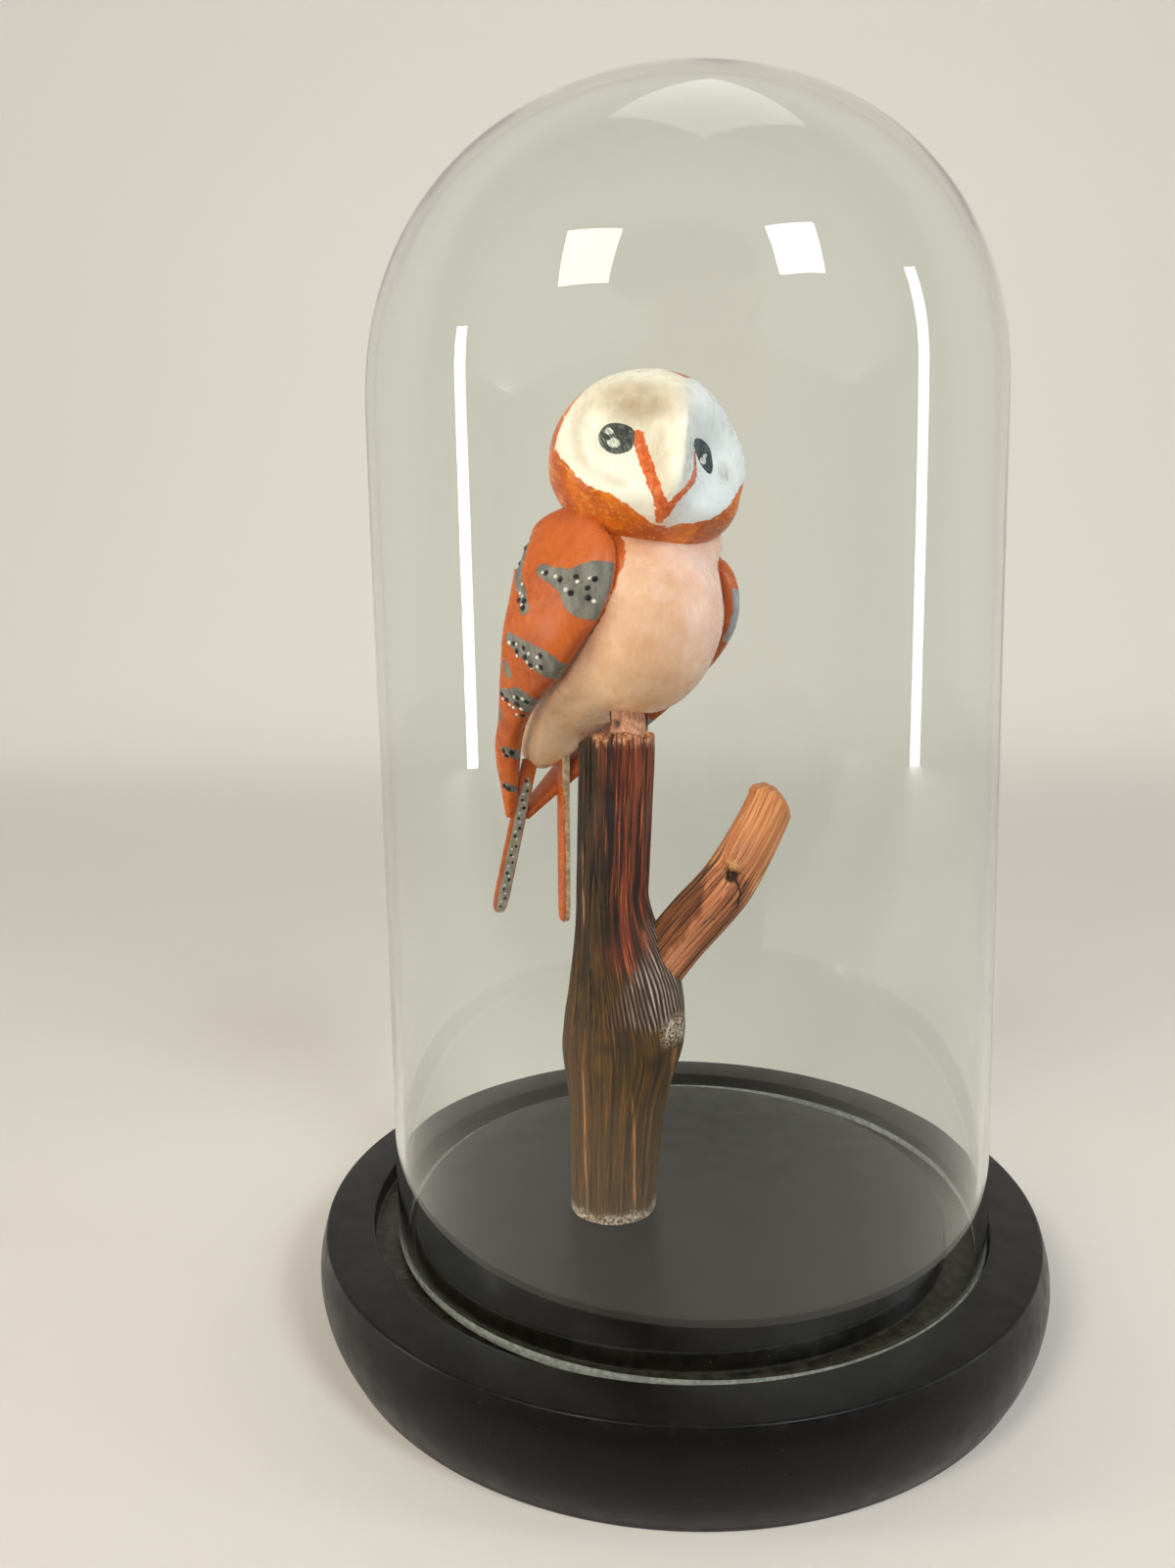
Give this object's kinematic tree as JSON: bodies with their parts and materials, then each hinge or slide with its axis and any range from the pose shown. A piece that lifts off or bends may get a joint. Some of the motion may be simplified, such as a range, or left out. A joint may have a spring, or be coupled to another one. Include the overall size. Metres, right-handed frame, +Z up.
{
  "type": "carved owl under glass dome",
  "caption": "Carved and painted wooden barn owl on a peeled twig with a cut side branch, standing under a lift-off glass dome on a turned black base.",
  "frame": {"origin": "centre of the base's underside, on the table", "axes": "+Z up through the dome; -Y is the front, the side the owl is seen from with its breast half turned; +X to the viewer's right"},
  "size_m": [0.1702, 0.1702, 0.2695],
  "materials": {
    "black_base": "satin black paint",
    "clear_glass": "clear, blown",
    "twig_wood": "peeled, dry",
    "peach_paint": "brushed paint, satin",
    "raw_block": "thin pink paint, matt",
    "eye_paint": "dark paint, gloss",
    "head_paint": "orange paint, gloss",
    "face_paint": "cream paint, satin",
    "wing_paint": "orange paint with grey patches and dots, gloss"
  },
  "bodies": {
    "display": {"base_plate": "black_base", "twig": "twig_wood", "owl_body": "peach_paint", "owl_feet_block": "raw_block", "owl_eye_right": "eye_paint", "owl_eye_left": "eye_paint", "owl_head": "head_paint", "owl_face": "face_paint", "owl_wing_right": "wing_paint", "owl_wing_left": "wing_paint", "owl_tail_right": "wing_paint", "owl_tail_left": "wing_paint"},
    "dome": {"glass_dome": "clear_glass"}
  },
  "joints": [
    {"name": "dome_lift", "type": "slide", "parent": "display", "child": "dome", "axis": [0, 0, 1], "range_m": [0, 0.21]}
  ]
}
